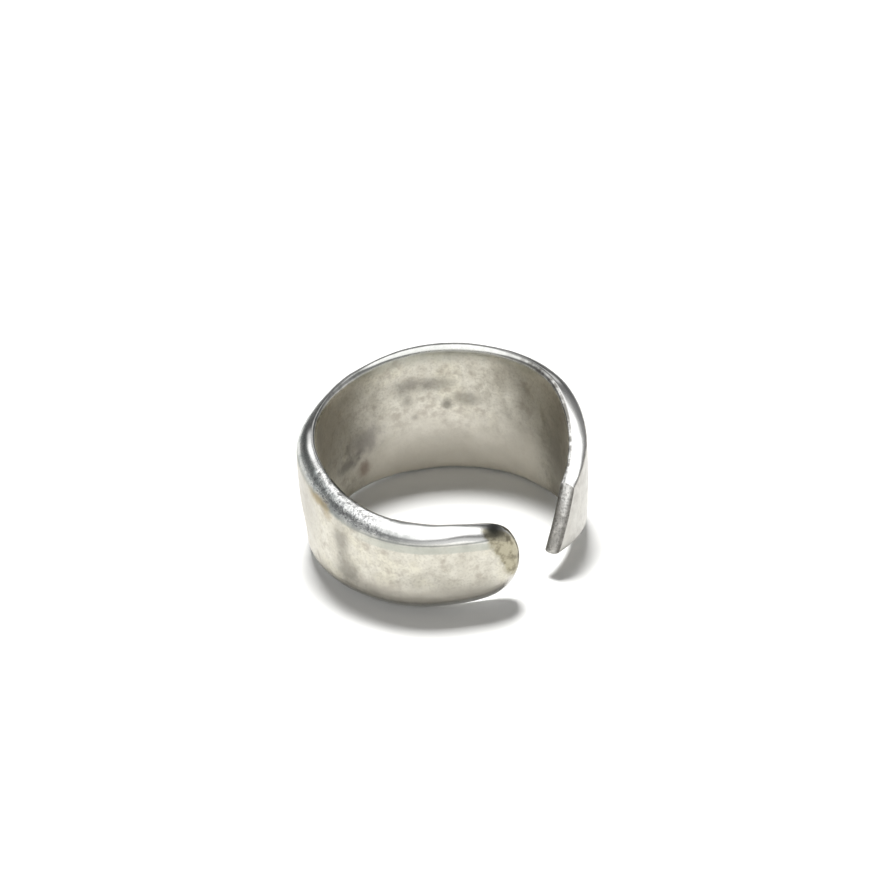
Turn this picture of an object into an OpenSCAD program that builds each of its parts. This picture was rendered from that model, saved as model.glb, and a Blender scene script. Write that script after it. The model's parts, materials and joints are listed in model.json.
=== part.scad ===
// An open ring bent from the handle of a silver spoon, lying on its side.

/* [Finger hole] */
// Radius of the mandrel that the band was bent round
finger_r = 8.8; // [8:0.05:10]

/* [Band] */
// Thickness of the metal
metal_t = 1.4; // [1.3:0.05:1.8]
// How far below a rim the outer face starts to round over
outer_round = 1.3; // [0.8:0.05:1.4]
// How far below a rim the inner face starts to round over
inner_round = 0.6; // [0.3:0.05:0.8]
// How far the outer face falls away from its middle to its rims, apart from their rounding
crown_h = 0.12; // [0.02:0.02:0.2]
// Length of the band along the middle of the metal
band_len = 55.2; // [50:0.1:56]
// Direction of the tip's end, seen from above, with 0 along +X
tip_dir = -60.5; // [-90:0.5:-40]

/* [Ends] */
// Length of the rounded tip
tip_len = 2.8; // [1.5:0.1:4]
// Fullness of the tip's outline, with 2 for an ellipse
tip_power = 2.3; // [2:0.1:3]
// Slant of the cut end, in millimetres along the band for each millimetre of height
cut_slant = 0.6; // [0:0.05:0.7]
// Easing of the cut end's edges
cut_ease = 0.15; // [0.05:0.05:0.25]
// How much of their rounding the rims lose towards the cut end, as a share
squaring = 0.8; // [0:0.05:0.8]

/* [Rest] */
// Lean of the finger hole's axis towards the front, as the ring rests on its widest part
lean_front = 7.1; // [0:0.1:10]
// Lean of the finger hole's axis towards the right
lean_right = -0.3; // [-5:0.1:5]

/* [Fineness] */
// Stations along the body of the band
body_steps = 72; // [30:1:90]
// Stations along the rounded tip
tip_steps = 12; // [8:1:16]
// Steps from the middle of a face to a rim
face_steps = 12; // [8:1:14]

/* [Hidden] */

// Sections of the flattened handle, from the tip to the cut end, as the photograph shows them
ALONG = 0;   // share of the band's length
WIDTH = 1;   // width from rim to rim
PROUD = 2;   // how far the hammered outer face stands past the even thickness
RIM = 3;     // how far out from the inner face the rims reach their height
SINK = 4;    // how far the middle of the band lies below the middle of the finger hole
SECTIONS = [
    [0.00,  5.5,  0.40, 0.40, 0.00],
    [0.07,  6.7,  0.05, 0.40, 0.00],
    [0.14,  7.1,  0.30, 0.40, 0.00],
    [0.21,  7.7,  0.20, 0.40, 0.00],
    [0.29,  8.8,  0.15, 0.35, -0.20],
    [0.36,  9.5,  0.15, 0.30, -0.20],
    [0.43,  9.9, -0.15, 0.30, 0.05],
    [0.50, 10.5, -0.20, 0.40, 0.20],
    [0.61, 11.3,  0.05, 0.50, 0.25],
    [0.71, 11.3,  0.00, 0.50, 0.15],
    [0.82, 10.5,  0.10, 0.40, -0.05],
    [0.91,  7.1,  0.00, 0.30, 0.00],
    [1.00,  4.3, -0.30, 0.30, 0.00],
];

// Metal left inside the mandrel's circle, which the finger hole then cuts away
bore_stock = 0.03;
hole_len = 3 * max([for (row = SECTIONS) row[WIDTH]]);
hole_fn = 180;
// Radius of the bend at the middle of the metal
mid_r = finger_r + metal_t / 2;
// The slant of the cut end fades in over this last stretch
slant_len = 6;
// Where the rims begin to be squarer, before the cut end, and over what length
square_from = 14;
square_len = 10;

// Slope of a column at row i, from the rows on each side of it
function slope(i, column) =
    let (a = max(i - 1, 0), b = min(i + 1, len(SECTIONS) - 1))
    (SECTIONS[b][column] - SECTIONS[a][column]) / (SECTIONS[b][ALONG] - SECTIONS[a][ALONG]);

// A column read at any share of the length, on a smooth curve through its rows
function smooth(share, column) =
    let (
        past = [for (k = [1:len(SECTIONS) - 2]) if (SECTIONS[k][ALONG] <= share) k],
        i = len(past),
        h = SECTIONS[i + 1][ALONG] - SECTIONS[i][ALONG],
        t = (share - SECTIONS[i][ALONG]) / h
    )
    SECTIONS[i][column] * (1 + 2 * t) * pow(1 - t, 2)
    + SECTIONS[i + 1][column] * t * t * (3 - 2 * t)
    + h * slope(i, column) * t * pow(1 - t, 2)
    - h * slope(i + 1, column) * t * t * (1 - t);

// Half of the band's height at distance s, drawn in to a rounded outline over the tip
function half_width(s) =
    let (fall = max(0, 1 - s / tip_len))
    smooth(s / band_len, WIDTH) / 2 * pow(1 - pow(fall, tip_power), 1 / tip_power);

// How far inside the outline a point of the flat band lies, at distance s and height z
function inside(s, z) =
    let (
        half = smooth(s / band_len, WIDTH) / 2,
        back = max(0, 1 - s / tip_len),
        side = abs(z) / half,
        whole = max(0.001, pow(pow(back, tip_power) + pow(side, tip_power), 1 / tip_power)),
        slope_s = pow(back / whole, tip_power - 1) / tip_len,
        slope_z = pow(side / whole, tip_power - 1) / half
    )
    (1 - whole) / max(norm([slope_s, slope_z]), 0.5 / half);

// Share of its depth that a rounding has taken at that distance from the outline, from all to nothing
function rounded(distance, reach) =
    1 - sqrt(1 - pow(max(0, 1 - max(0, distance) / reach), 2));

// Share of their rounding that the rims keep at distance s
function softness(s) =
    let (t = min(1, max(0, (s - band_len + square_from) / square_len)))
    1 - squaring * t * t * (3 - 2 * t);

// One section as [distance from the axis, height] pairs: a crowned outer face and a plain inner face,
// both rounded over to the rims, and the whole drawn in where the cut end is eased
function section(s) =
    let (
        share = s / band_len,
        metal = metal_t + smooth(share, PROUD),
        rim = smooth(share, RIM),
        half_w = half_width(s),
        soft = softness(s),
        ease = max(0, cut_ease - (band_len - s)),
        levels = [for (k = [-face_steps:face_steps]) sin(90 * k / face_steps)],
        outer = [
            for (q = levels)
                let (full = metal - crown_h * q * q)
                [full - (full - rim) * rounded(inside(s, q * half_w), outer_round * soft), q * half_w]
        ],
        inner = [
            for (k = [2 * face_steps - 1:-1:1])
                let (z = levels[k] * half_w)
                [(rim + bore_stock) * rounded(inside(s, z), inner_round * soft) - bore_stock, z]
        ]
    )
    [
        for (p = concat(outer, inner))
            [
                finger_r + metal / 2 + (p[0] - metal / 2) * (1 - 2 * ease / metal),
                p[1] * (1 - ease / half_w) - smooth(share, SINK)
            ]
    ];

// Bends a point of a section round the finger hole, clockwise from the tip as seen from above
function bend(s, p) =
    let (
        lean = pow(max(0, s - band_len + slant_len) / slant_len, 1.5),
        a = tip_dir - (s - lean * cut_slant * p[1]) / mid_r * 180 / PI
    )
    [p[0] * cos(a), p[0] * sin(a), p[1]];

// The same turns that rest() makes, for one point
function tilt(p) =
    let (q = [p[0], p[1] * cos(lean_front) - p[2] * sin(lean_front),
              p[1] * sin(lean_front) + p[2] * cos(lean_front)])
    [q[0] * cos(lean_right) + q[2] * sin(lean_right), q[1], q[2] * cos(lean_right) - q[0] * sin(lean_right)];

function column(points, i) = [for (p = points) p[i]];
function middle(values) = (min(values) + max(values)) / 2;

first_s = 0.02;
stations = concat(
    [for (k = [0:tip_steps - 1]) first_s + (tip_len - first_s) * (1 - cos(90 * k / tip_steps))],
    [for (k = [0:body_steps]) tip_len + (band_len - cut_ease - tip_len) * k / body_steps],
    [band_len]
);
rings = [for (s = stations) [for (p = section(s)) bend(s, p)]];
skin = [for (ring = rings) each ring];
sides = len(rings[0]);
lying = [for (p = skin) tilt(p)];

// Turns the ring onto the surface it lies on and brings the foot of its box to the origin
module rest() {
    translate([-middle(column(lying, 0)), -middle(column(lying, 1)), -min(column(lying, 2))])
        rotate([lean_front, lean_right, 0])
            children();
}

// The bent bar before its hole is trued: quads from section to section, both ends closed across their rungs
module bar() {
    quads = [
        for (i = [0:len(rings) - 2], k = [0:sides - 1])
            let (a = i * sides + k, b = i * sides + (k + 1) % sides)
            [a, a + sides, b + sides, b]
    ];
    last = (len(rings) - 1) * sides;
    rungs = [for (k = [0:sides / 2 - 1]) [k, k + 1, sides - 1 - k, (sides - k) % sides]];
    cut_rungs = [for (q = rungs) [last + q[3], last + q[2], last + q[1], last + q[0]]];
    faces = [
        for (q = concat(quads, rungs, cut_rungs))
            each [[q[0], q[1], q[2]], [q[0], q[2], q[3]]]
    ];
    polyhedron(
        points = skin,
        faces = [for (f = faces) if (f[0] != f[1] && f[1] != f[2] && f[2] != f[0]) f],
        convexity = 6
    );
}

module finger_hole() {
    cylinder(h = hole_len, r = finger_r, center = true, $fn = hole_fn);
}

module ring_band() {
    color("silver")
        rest()
            difference() {
                bar();
                finger_hole();
            }
}

ring_band();
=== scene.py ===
import json
import math

import bmesh
import bpy
from mathutils import Matrix, Vector


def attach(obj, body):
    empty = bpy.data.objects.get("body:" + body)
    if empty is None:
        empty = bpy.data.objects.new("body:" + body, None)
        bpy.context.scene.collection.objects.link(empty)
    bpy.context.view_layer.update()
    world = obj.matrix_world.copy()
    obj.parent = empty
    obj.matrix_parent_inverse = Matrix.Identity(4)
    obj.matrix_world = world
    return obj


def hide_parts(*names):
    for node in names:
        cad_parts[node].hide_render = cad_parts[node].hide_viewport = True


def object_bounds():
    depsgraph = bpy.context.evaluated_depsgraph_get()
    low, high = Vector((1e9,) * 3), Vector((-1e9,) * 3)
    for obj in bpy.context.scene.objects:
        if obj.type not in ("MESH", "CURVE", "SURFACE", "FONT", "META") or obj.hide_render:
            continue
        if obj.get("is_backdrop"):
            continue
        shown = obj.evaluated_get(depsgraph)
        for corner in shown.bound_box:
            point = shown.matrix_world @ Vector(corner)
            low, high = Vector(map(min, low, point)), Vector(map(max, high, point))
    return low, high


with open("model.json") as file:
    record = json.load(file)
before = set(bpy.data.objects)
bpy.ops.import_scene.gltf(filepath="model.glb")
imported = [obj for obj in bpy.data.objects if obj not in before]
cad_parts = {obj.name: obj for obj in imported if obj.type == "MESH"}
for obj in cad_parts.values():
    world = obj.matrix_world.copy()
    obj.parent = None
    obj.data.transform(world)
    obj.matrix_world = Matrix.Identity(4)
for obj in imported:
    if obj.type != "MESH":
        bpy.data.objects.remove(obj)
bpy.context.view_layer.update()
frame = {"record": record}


# The ring is one bar of sterling silver, sawn from a spoon's handle. It is hammered flat and broad, filed round at
# its tip and rims, bent round a mandrel and laid on its side. Until it is bent it stands on edge along X here,
# with its tip at the right and its outer face to the front.
mm = 0.001
METAL = 1.4 * mm
BAND = 55.2 * mm  # along the middle of the metal
WIDTH, PROUD, RIM_DEPTH, SINK = 1, 2, 3, 4
HANDLE = [
    # Share of the length from the tip, and in mm the width from rim to rim, how far the outer face stands proud,
    # how far out from the inner face the rims lie, and how far the middle line sinks.
    (0.00, 5.5, 0.40, 0.40, 0.00),
    (0.07, 6.7, 0.05, 0.40, 0.00),
    (0.14, 7.1, 0.30, 0.40, 0.00),
    (0.21, 7.7, 0.20, 0.40, 0.00),
    (0.29, 8.8, 0.15, 0.35, -0.20),
    (0.36, 9.5, 0.15, 0.30, -0.20),
    (0.43, 9.9, -0.15, 0.30, 0.05),
    (0.50, 10.5, -0.20, 0.40, 0.20),
    (0.61, 11.3, 0.05, 0.50, 0.25),
    (0.71, 11.3, 0.00, 0.50, 0.15),
    (0.82, 10.5, 0.10, 0.40, -0.05),
    (0.91, 7.1, 0.00, 0.30, 0.00),
    (1.00, 4.3, -0.30, 0.30, 0.00),
]


def handle(from_tip, column):
    """A column of the handle at a distance from its tip, on a smooth line through the rows."""
    at = min(max(from_tip / BAND, 0), 1)
    i = max(k for k in range(len(HANDLE) - 1) if HANDLE[k][0] <= at)

    def slope(k):
        a, b = HANDLE[max(k - 1, 0)], HANDLE[min(k + 1, len(HANDLE) - 1)]
        return (b[column] - a[column]) / (b[0] - a[0])

    h = HANDLE[i + 1][0] - HANDLE[i][0]
    t = (at - HANDLE[i][0]) / h
    return mm * (
        HANDLE[i][column] * (1 + 2 * t) * (1 - t) ** 2
        + HANDLE[i + 1][column] * t * t * (3 - 2 * t)
        + h * slope(i) * t * (1 - t) ** 2
        - h * slope(i + 1) * t * t * (1 - t)
    )


def pick(where, kind="verts"):
    """Selects the corners, edges or faces of the mesh in hand that answer a test, and nothing else."""
    bpy.ops.mesh.select_all(action="DESELECT")
    bpy.ops.mesh.select_mode(type={"verts": "VERT", "edges": "EDGE", "faces": "FACE"}[kind])
    mesh = bmesh.from_edit_mesh(bpy.context.object.data)
    for part in getattr(mesh, kind):
        if where(part):
            part.select = True
    mesh.select_flush_mode()
    bmesh.update_edit_mesh(bpy.context.object.data)


# The tip starts as a short plate, whose two outer corners are filed to arcs.
TIP = 3 * mm
FILED_BACK = 2.6 * mm
bpy.ops.object.select_all(action="DESELECT")
bpy.ops.mesh.primitive_plane_add(size=1, rotation=(math.pi / 2, 0, 0))
ring = bpy.context.object
ring.name = "silver_band"
bpy.ops.object.transform_apply(location=True, rotation=True, scale=True)
bpy.ops.object.mode_set(mode="EDIT")
bpy.ops.mesh.select_all(action="SELECT")
bpy.ops.transform.resize(value=(TIP, 1, 1), center_override=(0, 0, 0))
bpy.ops.transform.translate(value=(BAND / 2 - TIP / 2, 0, 0))
for from_tip, side in ((0, 1), (TIP, -1)):
    pick(lambda v: (v.co.x - (BAND / 2 - TIP / 2)) * side > 0)
    bpy.ops.transform.resize(value=(1, 1, handle(from_tip, WIDTH)), center_override=(0, 0, 0))
pick(lambda v: v.co.x > BAND / 2 - 0.1 * mm)
bpy.ops.mesh.bevel(offset=FILED_BACK, offset_type="OFFSET", segments=10, profile=0.52, affect="VERTICES")
pick(lambda e: all(v.co.x > BAND / 2 - 0.01 * mm for v in e.verts), "edges")
bpy.ops.mesh.subdivide(number_cuts=1)

# The rest of the handle is drawn out from its other side, rung by rung, with a little to spare.
RUNGS = 98
SPARE = 1.8 * mm
pick(lambda e: all(v.co.x < BAND / 2 - TIP + 0.01 * mm for v in e.verts), "edges")
stops = [TIP + (BAND + SPARE - TIP) * k / RUNGS for k in range(RUNGS + 1)]
for before, here in zip(stops, stops[1:]):
    bpy.ops.mesh.extrude_region_move(TRANSFORM_OT_translate={"value": (before - here, 0, 0)})
    spread = handle(here, WIDTH) / handle(before, WIDTH)
    bpy.ops.transform.resize(value=(1, 1, spread), center_override=(0, 0, 0))
bpy.ops.object.mode_set(mode="OBJECT")

# Both faces are filed over to rims that lie nearer the inner one. Each face is stepped up from a thin slab at the
# rims, one border inside another, so that its edge follows a quarter of an ellipse.
RIM = 0.4 * mm
SLAB = 0.06 * mm
OUTER_ROUND = 1.3 * mm
INNER_ROUND = 0.6 * mm
bpy.ops.object.modifier_add(type="SOLIDIFY")
ring.modifiers[-1].thickness = SLAB
ring.modifiers[-1].offset = 0
bpy.ops.object.modifier_apply(modifier=ring.modifiers[-1].name)
bpy.ops.object.mode_set(mode="EDIT")
for side, reach, deep, steps in ((-1, OUTER_ROUND, METAL - RIM, 4), (1, INNER_ROUND, RIM, 3)):
    pick(lambda f: f.normal.y * side > 0.9, "faces")
    turns = [math.radians(90 * k / steps) for k in range(steps + 1)]
    for a, b in zip(turns, turns[1:]):
        border = reach * (math.cos(a) - math.cos(b))
        bpy.ops.mesh.inset(thickness=border, use_boundary=True, use_even_offset=True)
        swell = (deep - SLAB / 2) * (math.sin(b) - math.sin(a))
        bpy.ops.transform.translate(value=(0, side * swell, 0))
bpy.ops.mesh.select_all(action="SELECT")
bpy.ops.transform.translate(value=(0, METAL / 2 - RIM, 0))

# The rungs across both faces are divided into rows, and the two faces left at the tip are filled with a grid.
ROWS = 14
pick(lambda e: e.verts[0].co.z * e.verts[1].co.z < 0 and e.calc_length() > mm, "edges")
bpy.ops.mesh.subdivide(number_cuts=ROWS - 1)
for side in (-1, 1):
    pick(lambda f: len(f.verts) > 8 and f.normal.y * side > 0, "faces")
    bpy.ops.mesh.delete(type="ONLY_FACE")
    pick(lambda e: e.is_boundary, "edges")
    bpy.ops.mesh.fill_grid(span=5, offset=0)
bpy.ops.object.mode_set(mode="OBJECT")
bpy.ops.object.modifier_add(type="SUBSURF")
ring.modifiers[-1].levels = ring.modifiers[-1].render_levels = 2
bpy.ops.object.modifier_apply(modifier=ring.modifiers[-1].name)

# The spare end is sawn off square, and the edges that the saw leaves are eased.
EASE = 0.09 * mm
CUT = -BAND / 2 + EASE
bpy.ops.object.mode_set(mode="EDIT")
bpy.ops.mesh.select_all(action="SELECT")
bpy.ops.mesh.bisect(
    plane_co=(CUT, 0, 0), plane_no=(-1, 0, 0), use_fill=True, clear_outer=True, threshold=1e-6
)
pick(lambda v: abs(v.co.x - CUT) < 0.001 * mm)
bpy.ops.mesh.remove_doubles(threshold=0.03 * mm)
pick(lambda f: f.normal.x < -0.999 and len(f.verts) > 8, "faces")
for inwards, onwards in ((0.3, 0.7), (0.7, 0.3)):
    bpy.ops.mesh.inset(thickness=EASE * inwards, use_even_offset=True)
    bpy.ops.transform.translate(value=(-EASE * onwards, 0, 0))
bpy.ops.object.mode_set(mode="OBJECT")

# Each point keeps its place on the straight bar, which the finish follows once the bar is bent: mm from the tip,
# depth from -1 on the outer face to 1 on the inner one, and mm above the middle line.
flat = ring.data.attributes.new("on_the_bar", "FLOAT_VECTOR", "POINT")
for point, kept in zip(ring.data.vertices, flat.data):
    kept.vector = ((BAND / 2 - point.co.x) / mm, point.co.y / (METAL / 2), point.co.z / mm)

# The hammer left the outer face proud here and thin there, and lower along the rims. Towards the cut end the rims
# are squarer, and the last stretch leans over. A lattice gives the bar all that: its outer layers move most, the
# layer of the rims moves to where they lie, and the inner face stays.
CROWN = 0.12 * mm
SQUARED = 0.8  # share of their rounding that the rims lose
SQUARED_FROM, SQUARED_OVER = 14 * mm, 10 * mm
LEAN = 0.6  # mm along the bar for each mm of height
LEAN_OVER = 6 * mm
bpy.ops.object.add(type="LATTICE")
blows = bpy.context.object
blows.scale = (1.05 * BAND, METAL, 12 * mm)
blows.data.points_u, blows.data.points_v, blows.data.points_w = 60, 8, 41
blows.data.interpolation_type_u = "KEY_CATMULL_ROM"
blows.data.interpolation_type_v = blows.data.interpolation_type_w = "KEY_LINEAR"
for point in blows.data.points:
    x, y, z = (c * s for c, s in zip(point.co, blows.scale))
    from_tip = BAND / 2 - x
    to_cut = BAND - from_tip
    proud = handle(from_tip, PROUD) - CROWN * min(2 * z / handle(from_tip, WIDTH), 1.3) ** 2
    shift = handle(from_tip, RIM_DEPTH) - RIM
    deep = METAL / 2 - y
    if deep > RIM:
        out = shift + (proud - shift) * (deep - RIM) / (METAL - RIM)
    else:
        out = shift * deep / RIM
    t = min(max((SQUARED_FROM - to_cut) / SQUARED_OVER, 0), 1)
    lost = SQUARED * t * t * (3 - 2 * t)
    half = handle(from_tip, WIDTH) / 2
    below = half - abs(z)
    if below < OUTER_ROUND:
        stretched = below * lost
    else:
        stretched = OUTER_ROUND * lost * (half - below) / (half - OUTER_ROUND)
    lift = math.copysign(1, z) * stretched - handle(from_tip, SINK)
    leaning = LEAN * (z + lift) * (max(0, LEAN_OVER - to_cut) / LEAN_OVER) ** 1.5
    point.co_deform.x += leaning / blows.scale.x
    point.co_deform.y -= out / blows.scale.y
    point.co_deform.z += lift / blows.scale.z
bpy.ops.object.select_all(action="DESELECT")
ring.select_set(True)
bpy.context.view_layer.objects.active = ring
bpy.ops.object.modifier_add(type="LATTICE")
ring.modifiers[-1].object = blows
bpy.ops.object.modifier_apply(modifier=ring.modifiers[-1].name)
bpy.data.objects.remove(blows)

# The hammer's faces left shallow waves all over, and a few deeper dents outside.
bpy.ops.object.modifier_add(type="DISPLACE")
waves = bpy.data.textures.new("hammer_waves", "CLOUDS")
waves.noise_scale = 2.6 * mm
waves.noise_depth = 1
ring.modifiers[-1].texture = waves
ring.modifiers[-1].strength = 0.09 * mm
bpy.ops.object.modifier_apply(modifier=ring.modifiers[-1].name)
bpy.ops.object.mode_set(mode="EDIT")
for from_tip, high, deep, wide in (  # in mm, the height above the middle line
    (15.6, 0.6, 0.12, 1.6),
    (16.4, -1.6, 0.1, 1.8),
    (19.6, -2.2, 0.16, 2.6),
    (10.5, 0.9, 0.05, 1.7),
    (6.2, -1.2, 0.04, 1.5),
):
    x, z = BAND / 2 - from_tip * mm, high * mm
    pick(lambda v: v.co.y < -0.3 * mm and math.hypot(v.co.x - x, v.co.z - z) < 0.3 * mm)
    bpy.ops.transform.translate(
        value=(0, deep * mm, 0),
        use_proportional_edit=True,
        use_proportional_connected=True,
        proportional_size=wide * mm,
    )

# Years of knocks nicked the upper rim at the front left. The nicks are scattered over 7 mm of it, and across it.
NICKS = 24
NICK = 0.1 * mm
for k in range(NICKS):
    x = BAND / 2 - (9 + 7 * (0.618 * k % 1)) * mm
    y = METAL / 2 - (0.2 + 0.7 * (0.37 * k % 1)) * mm
    deep = (0.02 + 0.03 * (0.71 * k % 1)) * mm
    wide = (0.2 + 0.12 * (0.53 * k % 1)) * mm
    near = [v.co.z for v in ring.data.vertices if abs(v.co.x - x) < NICK and abs(v.co.y - y) < 1.2 * NICK]
    top = max(near) - 1.5 * NICK
    pick(lambda v: v.co.z > top and abs(v.co.y - y) < NICK and abs(v.co.x - x) < NICK)
    bpy.ops.transform.translate(value=(0, 0, -deep), use_proportional_edit=True, proportional_size=wide)
bpy.ops.object.mode_set(mode="OBJECT")

# The bar is bent round the mandrel, brought to where the finger hole is, and laid on its side.
MANDREL = 8.8 * mm
MIDDLE = MANDREL + METAL / 2
TIP_AT = -60.5  # degrees round from +X, seen from above
LEANS_FRONT, LEANS_RIGHT = 7.1, -0.3
bpy.ops.object.modifier_add(type="SIMPLE_DEFORM")
ring.modifiers[-1].deform_method = "BEND"
ring.modifiers[-1].deform_axis = "Z"
ends = [point.co.x for point in ring.data.vertices]
ring.modifiers[-1].angle = (max(ends) - min(ends)) / MIDDLE
bpy.ops.object.modifier_apply(modifier=ring.modifiers[-1].name)
hole = next(m for m in frame["record"]["mounts"] if m["name"] == "finger_hole")
ring.matrix_world = (
    Matrix.Translation(hole["pos_m"])
    @ Matrix.Rotation(math.radians(LEANS_RIGHT), 4, "Y")
    @ Matrix.Rotation(math.radians(LEANS_FRONT), 4, "X")
    @ Matrix.Rotation(math.radians(TIP_AT + 90) - BAND / 2 / MIDDLE, 4, "Z")
    @ Matrix.Translation((0, -MIDDLE, 0))
)
bpy.ops.object.transform_apply(location=True, rotation=True, scale=True)
bpy.ops.object.shade_smooth()


def linear(code):
    """An sRGB hex colour as linear numbers."""
    parts = [int(code[i : i + 2], 16) / 255 for i in (1, 3, 5)]
    return [c / 12.92 if c <= 0.04045 else ((c + 0.055) / 1.055) ** 2.4 for c in parts] + [1]


def add_node(tree, kind, links=None, **settings):
    """Adds a node with its settings. An input takes a value, a hex colour, an output, or a node's first live one."""
    node = tree.nodes.new(kind)
    for name, value in settings.items():
        setattr(node, name, value)
    for name, source in (links or {}).items():
        if isinstance(source, bpy.types.Node):
            source = next(output for output in source.outputs if output.enabled)
        if isinstance(source, bpy.types.NodeSocket):
            tree.links.new(source, node.inputs[name])
        else:
            node.inputs[name].default_value = linear(source) if isinstance(source, str) else source
    return node


# Sterling silver, hammered, filed and long worn. The rims are rubbed bright and mirror the room. The faces carry a
# thin warm tarnish in clouds, which dulls them, with stains, fine pits, and hairlines along the bar. The sawn end
# is rough and grey. Some bands and patches are painted light, shade and reflection, standing in for what it mirrors.
silver = bpy.data.materials.new("worn_sterling_silver")
silver.use_nodes = True
metal = silver.node_tree
shader = metal.nodes["Principled BSDF"]
shader.inputs["Metallic"].default_value = 1
place = add_node(metal, "ShaderNodeAttribute", attribute_name="on_the_bar").outputs["Vector"]
run, depth, rise = add_node(metal, "ShaderNodeSeparateXYZ", {0: place}).outputs
solid = add_node(metal, "ShaderNodeTexCoord").outputs["Object"]

# Unevenness of four sizes, given as how many there are to the millimetre: clouds 3 mm across, blotches of 1.3 mm,
# mottle of 0.7 mm and pits of 0.2 mm. Real pits are half that, and are drawn as coarse as they need to show.
clouds, blotches, mottle, pits = (
    add_node(
        metal,
        "ShaderNodeTexNoise",
        {"Vector": solid, "Scale": to_the_mm / mm, "Detail": detail, "Roughness": broken},
    )
    for to_the_mm, detail, broken in ((0.33, 5, 0.62), (0.76, 4, 0.65), (1.5, 4, 0.6), (5.2, 3, 0.6))
)
# Hairlines follow the bar: 3 mm long, and 0.11 mm apart, several times the real spacing, so that they show.
drawn_out = add_node(metal, "ShaderNodeVectorMath", {0: place, 1: (0.35, 1, 9)}, operation="MULTIPLY")
hairs = add_node(
    metal, "ShaderNodeTexNoise", {"Vector": drawn_out, "Scale": 1, "Detail": 3, "Roughness": 0.7}
)


def share(*limits):
    """How far a finish takes: the product of numbers, other shares, and limits of a value. A limit runs softly from 0
    where the value is at its first number to 1 at its second, or between the two numbers that come after them."""
    product = None
    for limit in limits:
        if isinstance(limit, tuple):
            value, start, stop, *ends = limit
            least, most = ends or (0, 1)
            span = {"Value": value, "From Min": start, "From Max": stop, "To Min": least, "To Max": most}
            limit = add_node(metal, "ShaderNodeMapRange", span, interpolation_type="SMOOTHSTEP")
        if product is not None:
            limit = add_node(metal, "ShaderNodeMath", {0: product, 1: limit}, operation="MULTIPLY")
        product = limit
    return product


def coat(under, over, *limits):
    """One colour laid over another, as far as the limits let it."""
    return add_node(metal, "ShaderNodeMix", {0: share(*limits), 6: under, 7: over}, data_type="RGBA")


# The parts of the surface: both faces, the low corner of the cut end, which is dull as they are, the sawn end
# itself, and the upper half, where the rim shows.
CUT_AT = BAND / mm
outside = share((depth, -0.8, -0.98))
inside = share((depth, 0.8, 0.97))
sawn = share((run, CUT_AT - 0.1, CUT_AT - 0.04))
upper = share((rise, 0, 1))
faces = add_node(metal, "ShaderNodeMath", {0: outside, 1: inside}, operation="MAXIMUM")
low_corner = share((run, CUT_AT - 6, CUT_AT - 2), (rise, 0.5, -0.5))
faces = add_node(metal, "ShaderNodeMath", {0: faces, 1: low_corner}, operation="MAXIMUM")

# Tarnish on the faces: warm clouds, with grey and brown specks. Low down inside and low on the outer face at the
# front it is painted lighter, as painted light standing in for the lit card mirrored there. It is greyer outside
# near the cut end.
specks = share((mottle, 0.36, 0.66))
grain = share((pits, 0.45, 0.68))
wear_and_painted_light = coat("#DBD8CE", "#CFCBBF", (clouds, 0.36, 0.66))
wear_and_painted_light = coat(wear_and_painted_light, "#D2CCB4", (clouds, 0.5, 0.36), 0.35)
wear_and_painted_light = coat(wear_and_painted_light, "#ABA69B", specks, 0.3)
wear_and_painted_light = coat(wear_and_painted_light, "#A39A8E", (blotches, 0.52, 0.7), 0.6)
wear_and_painted_light = coat(wear_and_painted_light, "#A8A398", grain, 0.4)
# Painted light: lighter low on the inner wall, then low on the outer face at the front.
wear_and_painted_light = coat(wear_and_painted_light, "#F4EFE4", inside, (rise, 2, -4), (run, 25, 30), (run, 46, 42, 0, 0.85))
wear_and_painted_light = coat(wear_and_painted_light, "#F4EFE4", outside, (rise, -0.6, -2.2), (run, 13, 9, 0, 0.9))
wear_and_painted_light = coat(wear_and_painted_light, "#B9B8B8", outside, (run, 43, 48), 0.55)
colour = coat("#EEEEEC", wear_and_painted_light, faces)

# Painted reflection: a grey stripe runs along the outer face under the bright rim, from the tip to the left, with a
# thin dark line between them. Both stand in for the room mirrored by the rounded shoulder.
under_rim = add_node(metal, "ShaderNodeMath", {0: run, 1: -0.04, 2: rise}, operation="MULTIPLY_ADD")
reflected_stripe = share((under_rim, 2.26, 2.12), (under_rim, 1.58, 1.74), (run, 1.4, 2.4), (run, 12, 8.5))
colour = coat(colour, "#B0B3AB", reflected_stripe, (depth, -0.85, -0.93), (clouds, 0.35, 0.65, 0.85, 0.55))
reflected_line = share((under_rim, 2.18, 2.28), (under_rim, 2.4, 2.3), (run, 1.6, 2.6), (run, 13, 9))
colour = coat(colour, "#6A6F6C", reflected_line, (depth, -0.4, -0.7), (clouds, 0.3, 0.65, 0.9, 0.5))

# Painted reflection of the darker room: the outer half of the upper rim at the left and in front of it is painted
# dark grey in patches. The lower outer rim is painted dark brown, as painted shade mirrored from the card's shadow.
patchy = share((mottle, 0.3, 0.65, 0.5, 1))
left_rim = share((run, 9.5, 14), (run, 37, 31), (depth, 0.12, -0.2), (depth, -1, -0.93))
colour = coat(colour, "#7C8583", left_rim, upper, patchy, 0.75)
front_rim = share((run, 5, 9), (run, 15, 13), (depth, -0.3, -0.6), (depth, -0.98, -0.9))
colour = coat(colour, "#838685", front_rim, upper, patchy, 0.8)
colour = coat(colour, "#8A837A", (depth, -0.3, -0.7), (rise, -0.5, -1.5), (depth, -1, -0.9), 0.5)

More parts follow.
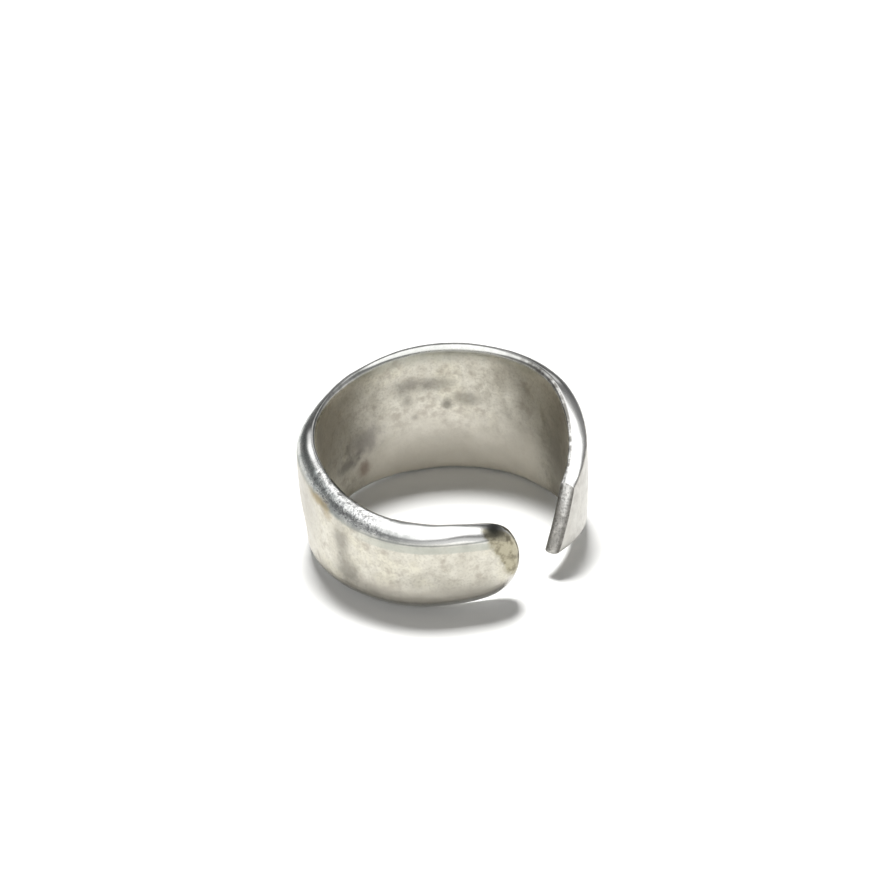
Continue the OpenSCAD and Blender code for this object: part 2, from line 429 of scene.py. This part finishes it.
# A tan painted reflection of the ring's far end and its shadow hangs over the tip's upper corner. Its border leans,
# and wanders with the clouds.
border = add_node(metal, "ShaderNodeMath", {0: rise, 1: -0.45, 2: run}, operation="MULTIPLY_ADD")
border = add_node(metal, "ShaderNodeMath", {0: clouds, 1: 2.4, 2: border}, operation="MULTIPLY_ADD")
tan_reflection = coat("#857F6D", "#AFA994", (mottle, 0.4, 0.58))
colour = coat(colour, tan_reflection, (border, 2.75, 2.3), (depth, 0.1, -0.3), (rise, -1.6, -0.8))

uneven = add_node(metal, "ShaderNodeMath", {0: mottle, 1: clouds}, operation="ADD")
uneven = add_node(metal, "ShaderNodeMath", {0: uneven, 1: 1}, operation="SUBTRACT")


def stain_and_shade_patch(from_tip, high, long, tall, at_depth, ragged=0.8):
    """A ragged patch of that half length and half height, all in mm, at that depth: 1 in its middle, 0 outside."""
    middle, sizes = (from_tip, at_depth, high), (1 / long, 1.2, 1 / tall)
    away = add_node(metal, "ShaderNodeVectorMath", {0: place, 1: middle}, operation="SUBTRACT")
    away = add_node(metal, "ShaderNodeVectorMath", {0: away, 1: sizes}, operation="MULTIPLY")
    away = add_node(metal, "ShaderNodeVectorMath", {0: away}, operation="LENGTH")
    away = add_node(metal, "ShaderNodeMath", {0: uneven, 1: 2 * ragged, 2: away}, operation="MULTIPLY_ADD")
    return share((away, 1.25, 0.15))


# The rim over that painted reflection has a painted black reflection along its edge.
colour = coat(colour, "#4A4C49", stain_and_shade_patch(1.9, 2.85, 0.95, 0.75, -0.15, 0.25), 0.9)
# Four broad patches of painted shade and painted reflection, then stains on the faces, each at its place: mm from
# the tip, mm above the middle line, half its length and half its height in mm, which face it is on (1 inside, -1
# outside), how strong it is, and its colour.
for from_tip, high, long, tall, face, strength, shade in (
    # painted shade: the inner wall darker at the left
    (23.0, 3, 4.2, 4, 1, 0.5, "#837D74"),
    # painted shade: the inner wall darker at the right
    (47.0, 0, 3.2, 7, 1, 0.65, "#7C776E"),
    # painted reflection: a grey band under the inner rim at the back
    (34, 5.3, 13, 0.9, 1, 0.5, "#93968E"),
    # painted shade: the outer face darker at the left
    (18.5, 0, 3.6, 7, -1, 0.35, "#A19D97"),
    # stains
    (32.4, 2.6, 1.9, 0.95, 1, 0.7, "#76726B"),
    (34.4, 2.5, 1.5, 0.7, 1, 0.55, "#7C7871"),
    (32.1, 1.3, 0.6, 0.7, 1, 0.5, "#807C75"),
    (35.3, 0.6, 0.5, 0.5, 1, 0.7, "#6E6B65"),
    (37.1, 1.1, 1.4, 0.7, 1, 0.6, "#77736C"),
    (32.6, -0.3, 0.4, 0.4, 1, 0.45, "#85817A"),
    (27.8, -0.9, 2.2, 1.5, 1, 0.6, "#7B7574"),
    (25.8, -1.9, 1.8, 0.8, 1, 0.6, "#6E6966"),
    (27.7, -3.2, 0.8, 0.8, 1, 0.6, "#8A6F62"),
    (26.3, 4.0, 1.6, 1.2, 1, 0.3, "#8A8680"),
    (12.4, 0.9, 0.8, 1.8, -1, 0.75, "#87837B"),
    (12.0, -1.3, 1.2, 1.4, -1, 0.75, "#87837B"),
    (9.6, -1.9, 1.6, 0.9, -1, 0.3, "#A29C92"),
    (16.5, 1.5, 1.8, 2.4, -1, 0.3, "#A19C95"),
    (14.6, 3.1, 1.1, 0.45, -1, 0.7, "#927F58"),
    (13.6, 2.6, 0.5, 0.6, -1, 0.5, "#927F58"),
    (50.6, -1.1, 0.25, 0.3, -1, 0.7, "#7A7A76"),
    (7.0, -2.4, 3.5, 0.8, -1, 0.2, "#A29D90"),
):
    colour = coat(colour, shade, stain_and_shade_patch(from_tip, high, long, tall, face), strength)

# The sawn end: torn grey metal, paler at its top, with dark edges.
torn = coat("#DDDCD8", "#C2C0BC", (rise, 1.4, 0.2))
torn = coat(torn, "#EDEBE6", (mottle, 0.42, 0.72))
from_middle = add_node(metal, "ShaderNodeMath", {0: depth}, operation="ABSOLUTE")
torn = coat(torn, "#68655F", (from_middle, 0.35, 0.85), (clouds, 0.3, 0.7, 0.95, 0.55))
torn = coat(torn, "#4F4D49", grain, 0.45)
colour = coat(colour, torn, sawn)

# The rim is scuffed and pitted at the front left. Dirt sits along the inner edge of that stretch, and of the last
# third of the rim.
scuffed = share((run, 8, 10.5), (run, 18, 15), (rise, 1.5, 3), (faces, 0.6, 0.1))
colour = coat(colour, "#68686C", scuffed, (pits, 0.46, 0.62), (depth, 0.3, -0.3, 0.25, 0.65))
dirty = share((run, 7, 9), (run, 17, 15))
dirty = add_node(metal, "ShaderNodeMath", {0: dirty, 1: share((run, 38, 44))}, operation="MAXIMUM")
dirty = share(dirty, (depth, 0.35, 0.6), (depth, 0.97, 0.87), upper, (mottle, 0.35, 0.6, 0.2, 0.85))
colour = coat(colour, "#5A5750", dirty)
metal.links.new(colour.outputs[2], shader.inputs["Base Color"])

# The polish: the rims are nearly bright, the faces duller, most so low down inside and on the sawn end.
rough = share((faces, 0, 1, 0.12, 0.3))
for duller in (
    share(left_rim, 0.1),
    share(inside, (rise, 0, -4, 0, 0.2)),
    share(specks, 0.08),
    share(sawn, 0.22),
):
    rough = add_node(metal, "ShaderNodeMath", {0: rough, 1: duller}, operation="ADD")
metal.links.new(rough.outputs[0], shader.inputs["Roughness"])

# The relief: pits and hairlines 0.02 mm deep all over, and coarser lumps 0.06 mm deep on the scuffed rim and the
# sawn end.
FINE, COARSE = 0.02 * mm, 0.06 * mm
combed = share(hairs, (inside, 0, 1, 0.3, 1))
relief = add_node(metal, "ShaderNodeMath", {0: pits, 1: 0.5, 2: combed}, operation="MULTIPLY_ADD")
keen = add_node(metal, "ShaderNodeMath", {0: scuffed, 1: sawn}, operation="MAXIMUM")
keen = add_node(
    metal, "ShaderNodeMath", {0: share((faces, 0, 1, 0.12, 0.6)), 1: keen}, operation="MAXIMUM"
)
skin = add_node(metal, "ShaderNodeBump", {"Height": relief, "Distance": FINE, "Strength": keen})
lumps = add_node(metal, "ShaderNodeMath", {0: pits, 1: 0.6, 2: mottle}, operation="MULTIPLY_ADD")
rugged = add_node(
    metal, "ShaderNodeMath", {0: share(scuffed, 0.5), 1: share(sawn, 0.8)}, operation="MAXIMUM"
)
skin = add_node(
    metal, "ShaderNodeBump", {"Height": lumps, "Distance": COARSE, "Strength": rugged, "Normal": skin}
)
metal.links.new(skin.outputs["Normal"], shader.inputs["Normal"])
ring.data.materials.append(silver)
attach(ring, "root")
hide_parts("ring_band")


# The table is a sheet of plain white card, 0.3 m square. Its matt face mirrors nothing and takes soft shadows, and
# past its edges the silver mirrors the room and not more card.
bpy.ops.object.select_all(action="DESELECT")
bpy.ops.mesh.primitive_plane_add(size=0.3)
table = bpy.context.object
table.name = "white_card"
card = bpy.data.materials.new("matt_white_card")
card.use_nodes = True
card_face = card.node_tree.nodes["Principled BSDF"]
card_face.inputs["Base Color"].default_value = linear("#F4F4F2")
card_face.inputs["Roughness"].default_value = 0.9
table.data.materials.append(card)
table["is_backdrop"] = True


# The light is one soft lamp, high behind the ring, which throws the ring's shadow forward. The silver doesn't mirror
# the lamp itself: it mirrors the room, set out below.
bpy.ops.object.light_add(type="AREA")
lamp = bpy.context.object
lamp.name = "soft_lamp"
lamp.data.shape = "RECTANGLE"
lamp.data.size = lamp.data.size_y = 0.24
lamp.data.energy = 12.4
lamp.location = (-0.03, 0.265, 0.96)
lamp.rotation_euler = Vector(lamp.location).to_track_quat("Z", "Y").to_euler()
lamp.visible_glossy = False
world = bpy.data.worlds.new("studio")
bpy.context.scene.world = world
world.use_nodes = True
sky = world.node_tree
way = add_node(sky, "ShaderNodeTexCoord").outputs["Generated"]


def glow(toward, inner, outer, bright, dim):
    """Bright within inner degrees of a direction, falling to dim at outer degrees."""
    toward = Vector(toward).normalized()
    away = add_node(sky, "ShaderNodeVectorMath", {0: way, 1: toward}, operation="DOT_PRODUCT")
    away = add_node(sky, "ShaderNodeMath", {0: away}, operation="ARCCOSINE")
    near, far = math.radians(inner), math.radians(outer)
    span = {"Value": away, "From Min": near, "From Max": far, "To Min": bright, "To Max": dim}
    return add_node(sky, "ShaderNodeMapRange", span, interpolation_type="SMOOTHSTEP")


# A white umbrella overhead and a little in front, pale low walls, and a darker back of the room.
UP = (0, 0, 1)
umbrella = glow((-0.15, -0.4, 0.9), 36, 50, 1.6, 0.28)
low_walls = glow(UP, 70, 82, 0, 0.45)
dark_back = glow((-0.05, 1, 0.25), 40, 72, 0.38, 1)
room = add_node(sky, "ShaderNodeMath", {0: umbrella, 1: low_walls}, operation="ADD")
room = add_node(sky, "ShaderNodeMath", {0: room, 1: dark_back}, operation="MULTIPLY")
# Four soft windows, high at the back and right: direction, degrees from middle to edge, and brightness.
for toward, edge, bright in (
    ((-0.4, 0.52, 0.755), 17, 1.2),
    ((0, 0.72, 0.695), 17, 0.5),
    ((0.3, 0.67, 0.68), 14, 0.6),
    ((0.43, 0.17, 0.88), 12, 0.2),
):
    room = add_node(sky, "ShaderNodeMath", {0: room, 1: glow(toward, 4, edge, bright, 0)}, operation="ADD")
# The card gets a fill from the sides, so its shadows stay soft but deep, and the camera sees plain white past it.
ray = add_node(sky, "ShaderNodeLightPath")
fill = glow(UP, 20, 75, 0.02, 0.62)
lit = {0: ray.outputs["Diffuse Depth"], 2: room, 3: fill}
lit = add_node(sky, "ShaderNodeMix", lit, data_type="FLOAT")
seen = {0: ray.outputs["Is Camera Ray"], 2: lit, 3: 1.0}
seen = add_node(sky, "ShaderNodeMix", seen, data_type="FLOAT")
sky.links.new(seen.outputs[0], sky.nodes["Background"].inputs["Strength"])
sky.nodes["Background"].inputs["Color"].default_value = (1, 1, 1, 1)

# The camera stands where the photo's did, and looks 30 degrees down.
camera = bpy.data.objects.new("camera", bpy.data.cameras.new("camera"))
bpy.context.scene.collection.objects.link(camera)
camera.location = (-0.5 * mm, -122.39 * mm, 78.66 * mm)
camera.rotation_euler = [math.radians(a) for a in (59.97, 2.82, -1.8)]
camera.data.lens = 81.82
camera.data.sensor_width = 36
camera.data.clip_start = 0.01
bpy.context.scene.camera = camera
bpy.context.scene.view_settings.view_transform = "Standard"

low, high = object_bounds()
